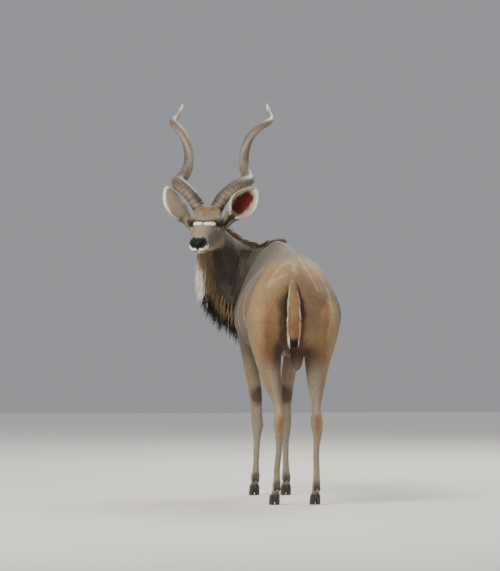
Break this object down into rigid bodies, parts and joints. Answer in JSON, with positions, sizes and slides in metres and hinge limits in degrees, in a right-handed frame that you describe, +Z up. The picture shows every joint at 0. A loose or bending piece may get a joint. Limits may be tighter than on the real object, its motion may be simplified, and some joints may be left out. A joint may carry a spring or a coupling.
{
  "type": "greater kudu",
  "caption": "Life-size standing greater kudu bull with spiral horns, its neck bent round so that it looks back over its left shoulder.",
  "frame": {"origin": "on the floor under the centre of the model's bounding box", "axes": "+Z up, +Y the way the body faces from tail to chest, +X to the animal's right side"},
  "size_m": [0.9158, 2.0226, 2.154],
  "materials": {
    "coat": "short smooth fur, grey-brown to tan, with pale stripes",
    "leg_coat": "very short pale fur",
    "eye": "glossy, nearly black",
    "horn": "satin grey-brown horn with paler tips",
    "hoof": "satin black horn"
  },
  "bodies": {
    "root": {"torso": "coat", "neck": "coat", "head": "coat", "left_ear": "coat", "right_ear": "coat", "tail": "coat", "left_foreleg": "leg_coat", "right_foreleg": "leg_coat", "left_hind_leg": "leg_coat", "right_hind_leg": "leg_coat", "left_eye": "eye", "right_eye": "eye", "left_horn": "horn", "right_horn": "horn", "left_foreleg_hoof": "hoof", "right_foreleg_hoof": "hoof", "left_hind_leg_hoof": "hoof", "right_hind_leg_hoof": "hoof"}
  },
  "joints": []
}
